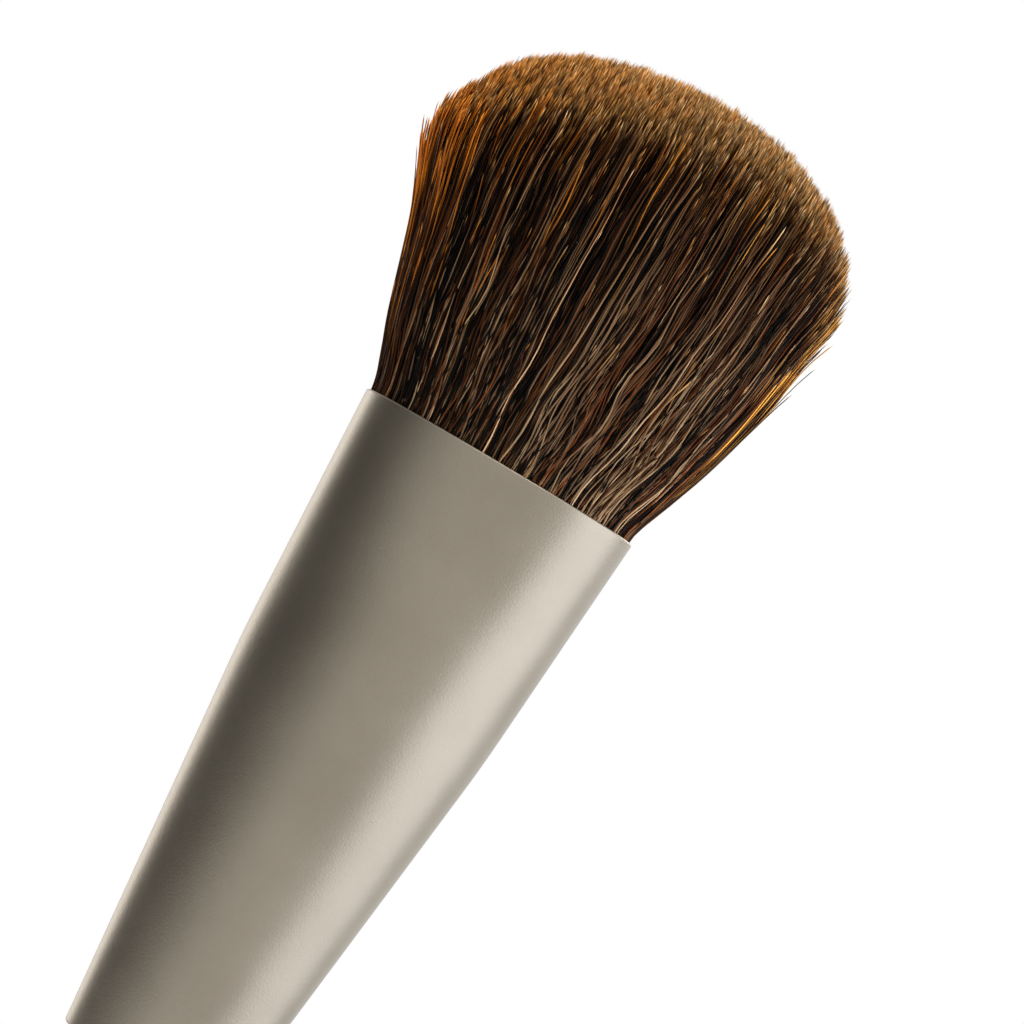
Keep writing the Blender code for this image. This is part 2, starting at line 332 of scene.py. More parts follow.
# Object coordinates, in metres from the frame's origin.
def addPlace(tree):
    return addNode(tree, "ShaderNodeTexCoord").outputs["Object"]


# The X, Y and Z parts of a vector.
def addParts(tree, vector):
    return addNode(tree, "ShaderNodeSeparateXYZ", values={"Vector": vector}).outputs[:]


# Noise on Object coordinates whose Z is times the stretch, which draws it out along the brush.
def addFibres(tree, stretch, values):
    place = {"Vector": addPlace(tree), "Scale": (1, 1, stretch)}
    stretched = addNode(tree, "ShaderNodeMapping", values=place).outputs["Vector"]
    values = {**values, "Vector": stretched}
    return addNode(tree, "ShaderNodeTexNoise", values=values).outputs["Fac"]


# A node group of surface variation: fine grain for bump, and broad patches for roughness and tone.
def makeSurfaceGroup():
    tree = bpy.data.node_groups.new("surfaceGrain", "ShaderNodeTree")
    face = tree.interface
    face.new_socket(name="Vector", in_out="INPUT", socket_type="NodeSocketVector")
    for name in ("Grain Scale", "Patch Scale", "Roughness", "Roughness Spread"):
        face.new_socket(name=name, in_out="INPUT", socket_type="NodeSocketFloat")
    for name in ("Grain", "Patches", "Roughness"):
        face.new_socket(name=name, in_out="OUTPUT", socket_type="NodeSocketFloat")
    start, end = addNode(tree, "NodeGroupInput"), addNode(tree, "NodeGroupOutput")
    given = start.outputs
    grain, patches = (
        addNode(tree, "ShaderNodeTexNoise", values={
            "Vector": given["Vector"], "Scale": given[scale], "Detail": detail, "Roughness": rough,
        }).outputs["Fac"]
        for scale, detail, rough in (("Grain Scale", 3.0, 0.55), ("Patch Scale", 4.0, 0.6))
    )
    centred = addMaths(tree, "SUBTRACT", patches, 0.5)
    uneven = addProduct(tree, centred, given["Roughness Spread"])
    roughness = addMaths(tree, "ADD", uneven, given["Roughness"], clamp=True)
    feed(tree, end, {"Grain": grain, "Patches": patches, "Roughness": roughness})
    return tree


surfaceGroup = makeSurfaceGroup()
patchScale = 120.0    # of the broad patches on every piece


# Places the group in a material, on Object coordinates and with the finish's own numbers, bumps
# the surface with its grain and gives its patches.
def addSurface(tree, shader, finish):
    group = addNode(tree, "ShaderNodeGroup", {"node_tree": surfaceGroup}, {
        "Vector": addPlace(tree),
        "Grain Scale": finish["grainScale"],
        "Patch Scale": patchScale,
        "Roughness": finish["roughness"],
        "Roughness Spread": finish["roughnessSpread"],
    })
    bump = addNode(tree, "ShaderNodeBump", values={
        "Height": group.outputs["Grain"],
        "Strength": finish["bump"],
        "Distance": finish["bumpDistance"],
    })
    feed(tree, shader, {"Normal": bump.outputs["Normal"], "Roughness": group.outputs["Roughness"]})
    return group.outputs["Patches"]


# A whole material. Its colour goes from the finish's dark one to its pale one over its tone span
# of the patches, or of its fibres where it has them.
def makeFinish(name, finish):
    material, tree, shader = newMaterial(name, finish)
    tone = addSurface(tree, shader, finish)
    if "fibres" in finish:
        tone = addFibres(tree, finish["fibreStretch"], finish["fibres"])
    share = addRange(tree, tone, finish["toneSpan"])
    colour = addMix(tree, share, hexColour(finish["darkColour"]), hexColour(finish["paleColour"]))
    feed(tree, shader, {"Base Color": colour})
    return material


# Ferrule

ferruleFinish = {
    "darkColour": "9b9386",
    "paleColour": "a1998c",
    "toneSpan": (0.35, 0.65),    # over which the dark colour turns pale
    "metallic": 0.9,
    "roughness": 0.36,
    "roughnessSpread": 0.08,
    "grainScale": 7000.0,
    "bump": 0.8,
    "bumpDistance": 0.02 * mm,
}


# The shell's profile: round lip, outer wall down, rounded foot, and the bore back up.
def makeFerrule():
    lip, wall, foot = ferrule["lipRound"], ferrule["wall"], ferrule["footRound"]
    rows = ferrule["roundRows"]
    top = mouthHeight - lip
    outer = float(ferruleRadius(top))
    footTop = ferruleLow.z + foot
    footOuter = float(ferruleRadius(footTop))
    wallHeights = np.linspace(top, footTop, ferrule["wallRows"])[1:-1]
    boreHeights = np.linspace(ferruleLow.z, top, ferrule["boreRows"])[:-1]
    profile = np.concatenate([
        arcPoints((outer - wall + lip, top), lip, 180, 90, ferrule["lipRows"]),
        arcPoints((outer - lip, top), lip, 90, 0, rows),
        np.stack([ferruleRadius(wallHeights), wallHeights], 1),
        arcPoints((footOuter - foot, footTop), foot, 0, -90, rows),
        np.stack([ferruleRadius(boreHeights) - wall, boreHeights], 1),
    ])
    shell = turnProfile("ferrule_shell", profile, ferrule["columns"], ring=True)
    shell.data.materials.append(makeFinish("satinChampagne", ferruleFinish))
    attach(shell, body)
    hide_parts("ferrule")


makeFerrule()
print("ferrule made")


# Collar ring

collar = {
    "round": 0.8 * mm,
    "boreRadius": 5.55 * mm,
    "columns": 160,
    "roundRows": 16,
    "darkColour": "cfcbc4",
    "paleColour": "d9d6d0",
    "toneSpan": (0.3, 0.7),
    "metallic": 1.0,
    "roughness": 0.1,
    "roughnessSpread": 0.08,
    "grainScale": 4000.0,
    "bump": 0.04,
    "bumpDistance": 0.01 * mm,
}


# The ring's profile: rounded outside from the top down, and a straight bore.
def makeCollar():
    outer, top, low, edge = collarHigh.x, collarHigh.z, collarLow.z, collar["round"]
    rows = collar["roundRows"]
    profile = np.concatenate([
        arcPoints((outer - edge, top - edge), edge, 90, 0, rows),
        arcPoints((outer - edge, low + edge), edge, 0, -90, rows),
        [(collar["boreRadius"], low), (collar["boreRadius"], top)],
    ])
    ring = turnProfile("collar_bead", profile, collar["columns"], ring=True)
    ring.data.materials.append(makeFinish("polishedMetal", collar))
    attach(ring, body)
    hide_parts("collar_ring")


makeCollar()


# Handle

handle = {
    "neckRadius": 6.45 * mm,
    "neckRound": 0.4 * mm,
    "bellyRadius": 6.9 * mm,
    "bellyHeight": 60.0 * mm,
    "buttRadius": 5.4 * mm,
    "buttRound": 0.9 * mm,
    "tenonRadius": 5.25 * mm,
    "tenonChamfer": 0.7 * mm,
    "collarGap": 0.3 * mm,
    "columns": 144,
    "curveRows": 60,             # of each half of the belly
    "neckRows": 10,
    "buttRows": 14,
    "darkColour": "1a0d08",
    "paleColour": "45200f",
    "toneSpan": (0.4, 0.65),
    "fibres": {"Scale": 900.0, "Detail": 5.0, "Roughness": 0.6},
    "fibreStretch": 0.06,
    "roughness": 0.3,
    "roughnessSpread": 0.1,
    "coat": 1.0,
    "coatRoughness": 0.04,
    "specular": 0.1,
    "grainScale": 1500.0,
    "bump": 0.03,
    "bumpDistance": 0.02 * mm,
}


# Profile from the tenon's top down: chamfer, shoulder, two eased curves over the belly, and the
# rounded butt.
def makeHandle():
    neckRadius, neckRound = handle["neckRadius"], handle["neckRound"]
    bellyRadius, belly = handle["bellyRadius"], handle["bellyHeight"]
    buttRadius, buttRound = handle["buttRadius"], handle["buttRound"]
    tenon, chamfer, tenonTop = handle["tenonRadius"], handle["tenonChamfer"], handleHigh.z
    shoulder = collarLow.z - handle["collarGap"]
    neck = shoulder - neckRound
    share = np.linspace(0, 1, handle["curveRows"])
    upper = neckRadius + (bellyRadius - neckRadius) * eased(share)
    lower = bellyRadius + (buttRadius - bellyRadius) * eased(share)
    profile = np.concatenate([
        [(0, tenonTop), (tenon - chamfer, tenonTop)],
        [(tenon, tenonTop - chamfer), (tenon, shoulder)],
        arcPoints((neckRadius - neckRound, neck), neckRound, 90, 0, handle["neckRows"]),
        np.stack([upper, neck + (belly - neck) * share], 1)[1:],
        np.stack([lower, belly + (buttRound - belly) * share], 1)[1:-1],
        arcPoints((buttRadius - buttRound, buttRound), buttRound, 0, -90, handle["buttRows"]),
        [(0, 0)],
    ])
    grip = turnProfile("handle_grip", profile, handle["columns"])
    grip.data.materials.append(makeFinish("handleLacquer", handle))
    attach(grip, body)
    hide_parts("handle")


makeHandle()
print("collar and handle made")


# Inner pieces, which keep their own shapes

innerFinishes = {
    # node: dark and pale colour, roughness
    "handle_socket": ("bfbfba", "c9c9c4", 0.5),
    "tenon_adhesive": ("d8cfb4", "e3dcc6", 0.35),
    "knot_epoxy": ("b99b62", "cdb079", 0.2),
    "knot_binding": ("cfc6b4", "e0d9ca", 0.8),
}
innerSurface = {
    "toneSpan": (0.0, 1.0),
    "roughnessSpread": 0.1,
    "grainScale": 1800.0,
    "bump": 0.2,
    "bumpDistance": 0.03 * mm,
}


def dressInnerPieces():
    for name, (dark, pale, roughness) in innerFinishes.items():
        finish = {**innerSurface, "darkColour": dark, "paleColour": pale, "roughness": roughness}
        material = makeFinish(name + "Finish", finish)
        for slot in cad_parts[name].material_slots:
            slot.material = material


dressInnerPieces()


# Hair

hair = {
    "seed": 7,
    # Strands
    "rootDepth": 2.5 * mm,       # below the mouth, where the visible strands start
    "buriedDepth": 6.0 * mm,     # below the dome, where the strands over the core start
    "radius": 0.056 * mm,
    "radiusSpread": 0.22,
    "tipLength": 22.0 * mm,      # over which a strand tapers
    "tipCap": 0.45 * mm,         # length of the point
    "ringPower": 1.2,            # of the share of the way up, which crowds rings to the root
    "lengthSpread": 0.08 * mm,
    "shortening": 0.55 * mm,     # mean of what a strand lacks below the dome
    "edgeShortening": 1.2 * mm,  # mean of what the outermost strands lack at their tips
    "edgeRise": (0.88, 0.1),     # share of the radius where that sets in, and over how much
    "splay": 0.2 * mm,           # outward bend of the outermost tips
    "splayRise": (0.93, 0.05),
    "lean": 0.042,               # radians that a root may be turned away from its tip
    "flare": -0.6 * mm,          # of both edges along X, just below the widest place
    "flareHeight": 18.2 * mm,
    "flareSpread": 4.5 * mm,
    # Strays that end early, at a share of the way up
    "earlyAtRight": 0.5,         # share more of them at the right edge
    "earliest": 0.35,
    "earlierAtRight": 0.2,
    "rightRise": (0.85, 0.1),    # share of the radius where the right edge starts for them
    # Clumps
    "clumps": 1100,
    "clumpPull": 0.28,
    "clumpTone": 0.1,            # share of strands that take their clump's shade
    "clumpLengthSpread": 0.1 * mm,
    # Waves
    "wave": 0.11 * mm,           # sideways, of one strand
    "waveSpread": 0.5,           # of its lognormal factor, and the factor's limit
    "waveLimit": 1.9,
    "waveOutward": 0.12,         # share of a strand's wave that goes outwards
    "clumpWave": 0.14 * mm,      # sideways, of a whole clump
    "waveFade": 9.0 * mm,
    "waveRest": 0.2,             # share of the waves that is left far above the mouth
    "waveLength": 8.5 * mm,
    "waveStretch": (0.6, 1.5),   # of a strand's wave, least and most
    "stretchPower": 1.5,         # of the stretch, by which longer waves are wider
    "clumpStretch": (0.7, 1.6),
    "rightWave": 1.0,            # share by which the waves grow to the right
    "rightCalm": 0.15,           # share of the radius over which they calm at the right edge
    # Map, on which a strand's column gives its shade, reach and level
    "reaches": 4,                # steps of how far down a strand its tip's colour reaches
    "levels": 5,                 # of brightness in each shade and reach
    "columnMargin": 0.15,        # share of a column that is left free on each side
    "mapLength": 40.0 * mm,      # of strand below its tip, up the map
    "mapMargin": 0.002,
    "reachSpread": 0.5,
    "amberReach": 2.5,           # steps farther down that amber reaches
    "edgeBlur": 0.03,            # share of the radius by which an amber edge of painted glow is blurred
    "strayDark": 0.5,            # share of their dark shades' weight that strays lose
    # Colours up a strand, with their spans on the map; a root's darkening upwards is painted shade
    "paintedShadeSpan": (0.53, 0.96),   # over which a root darkens by painted shade
    # colour that the painted shade multiplies into the root
    "paintedShadeColour": "c8a890",
    "tipSpan": (0.95, 1.06),     # over which the shortest reach turns to the tip's colour
    "reachStep": 0.06,           # by which each reach starts lower
    "endSpan": (0.976, 1.0),     # over which the tip fades to its pale end
    "leftSooner": 0.06,          # by which the painted shade sets in sooner at the left edge
    "leftGlowTint": "f6d8a4",        # of the tips to the left edge: a painted warm glow of backlit hair
    "backTint": 0.4,             # share of that tint at the back
    # Painted light and shade, as shares gained or lost; level and patches are random tone
    "levelLight": (-0.55, 0.6),  # of the darkest and the brightest strands
    "tipContrast": 1.7,          # that difference at the tips over the one below
    "reachShade": 0.2,           # painted shade lost by a root with each step of reach
    "leftLight": 0.4,            # painted light gained by the pale ends to the left edge
    "rightShade": 0.36,          # painted shade lost by the darkened hair to the right
    "rightShadeTips": 0.5,       # share of that which the tips are spared
    "frontShade": 0.3,           # painted shade lost by the tips to the front
    "frontShadeRight": 0.25,     # share of that at the right
    "patches": {"Scale": 1400.0, "Detail": 2.0},
    "patchStretch": 0.2,
    "patchSpan": (0.3, 0.7),
    "patchLight": (0.75, 1.25),
    # Spans across the head, as shares of its widest radius
    "leftX": (-1.0, 0.3),
    "tintY": (0.3, -0.4),
    "rightX": (-0.2, 0.6),
    "frontY": (-0.15, -0.85),
    "frontX": (0.0, 0.4),
    # Gloss
    "roughSpan": (0.42, 0.6),    # of the darkest and the brightest strands
    "specular": 0.1,
    "pieceTriangles": 180000,    # most that one piece of hair may have
}
hairShades = (
    # root, tip, end, weight, side: above nought where it grows commoner to the right
    ("8c5c30", "f2ac48", "f6c87e", 0.01, 0.0),     # light amber, commoner at the right edge for painted glow
    ("6c3f1c", "dc8c32", "f2b05a", 0.024, -2.2),   # amber, commoner to the left and at its edge for painted glow
    ("060403", "462a11", "b2884f", 0.46, -0.25),   # near black
    ("160e09", "90501a", "ca9657", 0.2, -0.2),     # espresso
    ("442711", "c27024", "dea45f", 0.12, 0.5),     # chestnut
    ("7c4624", "d4822c", "e6a45c", 0.075, 0.6),    # rust
    ("785c44", "c69050", "e0b47c", 0.12, -0.1),    # taupe
    ("b09270", "d6a868", "eac894", 0.118, 0.1),    # khaki
    ("caa882", "e4be86", "f4dab2", 0.042, 0.5),    # tan
)
ambers, darks, pales = slice(0, 2), slice(2, 4), slice(7, 9)    # groups of those shades
paintedGlowEdges = (
    # Painted glow of backlit hair, as amber at the edges: way along X, weight gained at that edge,
    # weight that strays gain there besides, and where the edge starts and its width, as shares of
    # the radius
    (1, 0.12, 1.9, 0.92, 0.08),     # light amber, glow at the right edge
    (-1, 0.7, 3.0, 0.8, 0.15),      # amber, glow at the left edge
)
strandGroups = {
    # strands, their sides and rings, least and greatest share of the radius, the wave, radius and
    # splay as shares of the hair's own, the mean reach of the tip's colour, the share of the
    # radius that is left at the tip, and the share of strays that end early
    "inner": {
        "count": 30000, "sides": 3, "rings": 4, "shares": (0.0, 0.83), "wave": 0.3,
        "size": 1.12, "reach": 2.2, "splay": 1.0, "thin": 0.42,
    },
    "outer": {
        "count": 9500, "sides": 3, "rings": 8, "shares": (0.83, 0.945), "wave": 0.7,
        "size": 1.08, "reach": 1.0, "splay": 1.0, "thin": 0.42,
    },
    "surface": {
        "count": 3900, "sides": 4, "rings": 17, "shares": (0.945, 0.995), "wave": 1.0,
        "size": 1.16, "reach": 0.1, "splay": 1.0, "thin": 0.42,
    },
    "stray": {
        "count": 1100, "sides": 4, "rings": 21, "shares": (0.985, 1.012), "wave": 1.9,
        "size": 1.28, "reach": 0.3, "splay": 2.0, "thin": 0.6, "early": 0.38,
    },
}
batch = 2000    # strands whose clumps are looked up at a time
random = np.random.default_rng(hair["seed"])
clumps = {
    "share": np.sqrt(random.uniform(0, 1, hair["clumps"])),
    "angle": random.uniform(0, 2 * np.pi, hair["clumps"]),
    "length": random.normal(0, hair["clumpLengthSpread"], hair["clumps"]),
    "chance": random.uniform(0, 1, hair["clumps"]),
    "waveLength": hair["waveLength"] * random.uniform(*hair["clumpStretch"], hair["clumps"]),
    "phase": random.uniform(0, 2 * np.pi, hair["clumps"]),
}


# Height of the trimmed dome over a point: half an ellipsoid, less a twist by x times y.
def domeHeight(x, y):
    width = head["widestRadius"]
    share = ((x - head["domeShift"]) / width) ** 2 + (y / (width * head["domeOval"])) ** 2
    top = mouthHeight + head["widestHeight"] + head["domeHeight"] * np.sqrt(clipped(1 - share))
    return top - head["twist"] * x * y / width ** 2


# Where strands at these shares and angles pass these heights, all as arrays of one shape. The
# flare moves the outer ones along X, most at one height and by a bell curve above and below it.
def strandPlace(share, angle, height):
    reach = share * bundleRadius(height) * sectionShare(angle, height)
    x, y = reach * np.cos(angle), reach * np.sin(angle)
    rise = (height - mouthHeight - hair["flareHeight"]) / hair["flareSpread"]
    x = x + hair["flare"] * np.exp(-rise ** 2) * (share * np.abs(np.cos(angle))) ** 4
    x = x + head["sideShift"] * rising(height, mouthHeight, head["widestHeight"]) ** 2
    return np.stack([x, y, height], -1)


# Number of the clump that is nearest to each strand in X and Y.
def nearestClumps(places, clumpPlaces):
    nearest = np.empty(len(places), int)
    for start in range(0, len(places), batch):
        apart = places[start:start + batch, None, :2] - clumpPlaces[None, :, :2]
        nearest[start:start + batch] = (apart ** 2).sum(2).argmin(1)
    return nearest


# Adds waves to strands' lines: a sine sideways and a smaller one outwards for each strand, and
# one sideways that a clump shares. They set in over three root depths, mostly fade away above
# the ferrule, and grow to the right, but calm at its very edge.
def addWaves(lines, share, angle, outward, group, above, fade, nearest):
    count = len(share)
    sideways = np.stack([-np.sin(angle), np.cos(angle)], 1)[:, None, :]
    side = (share * np.cos(angle))[:, None]
    wavier = 1 + hair["rightWave"] * clipped(side) * clipped((1 - side) / hair["rightCalm"])
    uneven = random.lognormal(0, hair["waveSpread"], count).clip(0, hair["waveLimit"])
    size = hair["wave"] * group["wave"] * wavier * uneven[:, None]
    rooted = rising(above, -hair["rootDepth"], 3 * hair["rootDepth"])
    envelope = (hair["waveRest"] * wavier + fade) * rooted
    for direction, scale in ((sideways, 1.0), (outward, hair["waveOutward"])):
        stretch = random.uniform(*hair["waveStretch"], count)[:, None]
        phase = random.uniform(0, 2 * np.pi, count)[:, None]
        turns = above / (hair["waveLength"] * stretch)
        width = size * scale * stretch ** hair["stretchPower"]
        wave = width * envelope * np.sin(2 * np.pi * turns + phase)
        lines[..., :2] += wave[..., None] * direction
    clumpTurns = above / clumps["waveLength"][nearest][:, None]
    clumpPhase = clumps["phase"][nearest][:, None]
    shared = hair["clumpWave"] * envelope * np.sin(2 * np.pi * clumpTurns + clumpPhase)
    lines[..., :2] += shared[..., None] * sideways


# Strands' centre lines. Each rises from its root to the dome at its own share and angle, turned
# near its root by its lean, drawn to its clump by the square of the way up, splayed outwards by
# its sixth power, and waved. Buried strands start under the dome, over the core, and the others
# in the ferrule. ends is the share of the way to the dome at which each strand ends.
def strandLines(share, angle, group, ends, buried):
    count = len(share)
    widest = mouthHeight + head["widestHeight"]
    tipPlace = strandPlace(share, angle, np.full(count, widest))
    clumpPlace = strandPlace(clumps["share"], clumps["angle"], np.full(hair["clumps"], widest))
    nearest = nearestClumps(tipPlace, clumpPlace)
    dome = domeHeight(tipPlace[:, 0], tipPlace[:, 1])
    tip = dome + random.normal(0, hair["lengthSpread"], count) + clumps["length"][nearest]
    tip = tip - random.exponential(hair["shortening"], count)
    shorter = random.exponential(hair["edgeShortening"], count) * rising(share, *hair["edgeRise"])
    tip = mouthHeight + (tip - shorter - mouthHeight) * ends
    root = np.full(count, mouthHeight - hair["rootDepth"])
    bottom = dome - hair["buriedDepth"] if buried else root
    climb = tip - hair["tipCap"] - bottom
    way = np.linspace(0, 1, group["rings"]) ** hair["ringPower"]
    height = np.concatenate([bottom[:, None] + climb[:, None] * way, tip[:, None]], 1)
    above = height - mouthHeight
    fade = np.exp(-np.maximum(above, 0) / hair["waveFade"])
    lean = random.normal(0, hair["lean"], count)[:, None] * fade
    lines = strandPlace(share[:, None] + 0 * height, angle[:, None] + lean, height)
    rise = clipped(above / (tip[:, None] - mouthHeight)) ** 2
    pull = (clumpPlace[nearest] - tipPlace)[:, :2]
    lines[..., :2] += pull[:, None, :] * (hair["clumpPull"] * rise)[..., None]
    outward = np.stack([np.cos(angle), np.sin(angle)], 1)[:, None, :]
    splay = np.abs(random.normal(0, 1, count)).clip(0, 2) * hair["splay"] * group["splay"]
    splay = splay * rising(share, *hair["splayRise"]) * ends ** 2
    lines[..., :2] += outward * (splay[:, None] * rise ** 3)[..., None]
    addWaves(lines, share, angle, outward, group, above, fade, nearest)
    return lines, tip, nearest


# Tubes round the centre lines, closed below by a face and above by a point. The map's first
# number picks the strand's shade, reach and level, and its second rises to 1 at its tip.
def strandMesh(name, lines, sides, radii, tips, columns):
    count, rings = lines.shape[0], lines.shape[1] - 1
    tangent = np.gradient(lines, axis=1)
    tangent /= np.linalg.norm(tangent, axis=2, keepdims=True)
    sideways = np.cross(tangent, np.array([1.0, 0.3, 0.0]))    # no strand runs this way
    sideways /= np.linalg.norm(sideways, axis=2, keepdims=True)
    across = np.cross(tangent, sideways)
    turn = random.uniform(0, 2 * np.pi, count)[:, None] + np.arange(sides) * 2 * np.pi / sides
    cosine, sine = np.cos(turn)[:, None, :, None], np.sin(turn)[:, None, :, None]
    reach = cosine * sideways[:, :-1, None, :] + sine * across[:, :-1, None, :]
    ringPoints = lines[:, :-1, None, :] + radii[:, :-1, None, None] * reach
    points = np.concatenate([ringPoints.reshape(count, -1, 3), lines[:, -1:, :]], 1)
    base = np.arange(rings * sides).reshape(rings, sides)
    turned = np.roll(base, -1, 1)
    quads = np.stack([base[:-1], turned[:-1], turned[1:], base[1:]], 2).reshape(-1)
    caps = np.stack([base[-1], turned[-1], np.full(sides, rings * sides)], 1).ravel()
    pattern = np.concatenate([quads, caps, base[0][::-1]])
    capStarts = len(quads) + np.arange(sides + 1) * 3
    faceStarts = np.concatenate([np.arange(len(quads) // 4) * 4, capStarts])
    corners = (np.arange(count)[:, None] * (rings * sides + 1) + pattern).ravel()
    starts = (np.arange(count)[:, None] * len(pattern) + faceStarts).ravel()
    piece = addMesh(name, points.reshape(-1, 3), corners, starts)
    near = np.arange(sides) / sides
    far = near + 1 / sides
    quadAcross = np.tile(np.stack([near, far, far, near], 1), (rings - 1, 1)).ravel()
    capAcross = np.stack([near, far, (near + far) / 2], 1).ravel()
    inColumn = np.concatenate([quadAcross, capAcross, np.linspace(1, 0, sides)])
    inColumn = hair["columnMargin"] + (1 - 2 * hair["columnMargin"]) * inColumn
    columnCount = len(hairShades) * hair["reaches"] * hair["levels"]
    mapAcross = (columns[:, None] + inColumn) / columnCount
    ringUp = 1 - (tips[:, None] - lines[..., 2]) / hair["mapLength"]
    vertexUp = np.concatenate([np.repeat(ringUp[:, :-1], sides, axis=1), ringUp[:, -1:]], 1)
    mapUp = np.clip(vertexUp[:, pattern], hair["mapMargin"], 1 - hair["mapMargin"])
    layer = piece.data.uv_layers.new(name="OFBake")
    layer.data.foreach_set("uv", np.stack([mapAcross, mapUp], -1).astype(np.float32).ravel())
    return piece


# Columns of the map, one for each strand. A shade's weight changes by an exponential from left
# to right, and the ambers' besides at one edge each, in strays most of all, which paints the glow
# of backlit hair at those edges. Strays have fewer of the dark shades and, to the right, more of
# the pale ones. A strand takes the shade at its chance in the weights' sum, a reach round its
# group's own, and any level.
def pickColumns(share, angle, chance, stray, meanReach):
    count = len(share)
    side = share * np.cos(angle)
    table = np.array([shade[3:] for shade in hairShades])
    weights = table[:, 0] * np.exp(side[:, None] * table[:, 1])
    # painted glow: amber gained at the left and right edges
    for number, (way, paintedGlowGain, strayGained, start, width) in enumerate(paintedGlowEdges):
        edge = rising(way * side + random.normal(0, hair["edgeBlur"], count), start, width)
        weights[:, number] += (paintedGlowGain + strayGained * stray) * edge
    weights[:, darks] *= 1 - hair["strayDark"] * stray
    weights[:, pales] *= 1 + stray * clipped(side + 0.5)[:, None]
    total = np.cumsum(weights, 1)
    shade = (chance[:, None] * total[:, -1:] > total).sum(1)
    farther = hair["amberReach"] * (shade < ambers.stop)
    reach = meanReach + random.normal(0, hair["reachSpread"], count) + farther
    reach = np.clip(np.round(reach), 0, hair["reaches"] - 1).astype(int)
    level = random.integers(0, hair["levels"], count)
    return (shade * hair["reaches"] + reach) * hair["levels"] + level


# A span given as shares of the head's widest radius, in metres.
def headSpan(name):
    return [share * head["widestRadius"] for share in hair[name]]


# The strand's colour comes from its map: the root's darkens upwards by painted shade, sooner at
# the left, turns to the tip's over the strand's reach and to the pale end's last. Tips are tinted
# warm to the left, less at the back, as a painted glow of backlit hair. Brightness differs at
# random with the strand's level and with slow noise along the hair. Painted shade falls on the
# roots of strands that reach far down, deep in the hair, on the darkened hair to the right and on
# the tips to the front, less at the right, while painted light brightens the pale ends to the
# left.
def makeHairFinish():
    material, tree, shader = newMaterial("brownHair", hair)
    x, y = addParts(tree, addPlace(tree))[:2]
    strandMap = addNode(tree, "ShaderNodeUVMap", {"uv_map": "OFBake"})
    across, up = addParts(tree, strandMap.outputs["UV"])[:2]
    inShade = addMaths(tree, "FRACT", addProduct(tree, across, float(len(hairShades))))
    inReach = addProduct(tree, inShade, float(hair["reaches"]))
    reach, level = addMaths(tree, "FLOOR", inReach), addMaths(tree, "FRACT", inReach)

    left = addRange(tree, x, headSpan("leftX"), (1, 0))
    # painted shade: the root darkens upwards, sooner at the left
    sooner = addMaths(tree, "ADD", up, addProduct(tree, left, hair["leftSooner"]))
    paintedDarkening = addRange(tree, sooner, hair["paintedShadeSpan"])
    lifted = addMaths(tree, "ADD", up, addProduct(tree, reach, hair["reachStep"]))
    blend = addRange(tree, lifted, hair["tipSpan"], smooth=True)
    ending = addRange(tree, up, hair["endSpan"], smooth=True)
    root, tip, end = (
        addSteps(tree, [shade[part] for shade in hairShades], across) for part in range(3)
    )
    # the painted shade darkens the root's colour
    root = addMix(tree, paintedDarkening, root, hexColour(hair["paintedShadeColour"]), "MULTIPLY")
    colour = addMix(tree, ending, addMix(tree, blend, root, tip), end)
    # painted glow: the tips are tinted warm towards the left edge, less at the back
    fore = addRange(tree, y, headSpan("tintY"), (hair["backTint"], 1))
    tint = addProduct(tree, left, blend, fore)
    colour = addMix(tree, tint, colour, hexColour(hair["leftGlowTint"]), "MULTIPLY")

    contrast = addRange(tree, blend, (0, 1), (1, hair["tipContrast"]))
    unlike = addProduct(tree, addRange(tree, level, (0, 1), hair["levelLight"]), contrast)
    strandLight = addMaths(tree, "ADD", unlike, 1.0)
    # painted light gained by the pale ends to the left, painted shade lost to the right and front
    spared = addProduct(tree, blend, hair["rightShadeTips"])
    paintedRightShade = addRange(tree, x, headSpan("rightX"), (0, hair["rightShade"]))
    paintedRightShade = addProduct(tree, paintedRightShade, addMaths(tree, "SUBTRACT", paintedDarkening, spared))
    paintedFrontShade = addRange(tree, y, headSpan("frontY"), (0, hair["frontShade"]))
    frontSide = addRange(tree, x, headSpan("frontX"), (1, hair["frontShadeRight"]))
    paintedFrontShade = addProduct(tree, paintedFrontShade, frontSide, blend)
    paintedGlowGain = addProduct(tree, left, ending, hair["leftLight"])
    kept = addMaths(tree, "SUBTRACT", paintedGlowGain, addMaths(tree, "ADD", paintedRightShade, paintedFrontShade))
    paintedSideLight = addMaths(tree, "ADD", kept, 1.0)
    # painted shade on the roots of strands that reach deep into the hair
    paintedDeepShade = addProduct(tree, reach, addRange(tree, blend, (0, 1), (hair["reachShade"], 0)))
    paintedRootLight = addMaths(tree, "SUBTRACT", 1.0, paintedDeepShade)
    patches = addFibres(tree, hair["patchStretch"], hair["patches"])
    patchLight = addRange(tree, patches, hair["patchSpan"], hair["patchLight"])
    # random tone times the painted light and shade
    light = addProduct(tree, strandLight, paintedSideLight, paintedRootLight, patchLight)
    grey = addNode(tree, "ShaderNodeCombineXYZ", values={name: light for name in "XYZ"})
    lit = addMix(tree, 1.0, colour, grey.outputs["Vector"], "MULTIPLY")
    roughness = addRange(tree, level, (0, 1), hair["roughSpan"])
    feed(tree, shader, {"Base Color": lit, "Roughness": roughness})
    return material


# Share of the way to the dome at which each strand ends: all of it, apart from strays that end
# early, which are commoner and may be shorter at the right edge.
def strandEnds(share, angle, group):
    count = len(share)
    if "early" not in group:
        return np.ones(count)
    edge = rising(share * np.cos(angle), *hair["rightRise"])
    early = random.uniform(0, 1, count) < group["early"] + hair["earlyAtRight"] * edge
    least = hair["earliest"] - hair["earlierAtRight"] * edge
    return np.where(early, random.uniform(least, 1.0), 1.0)


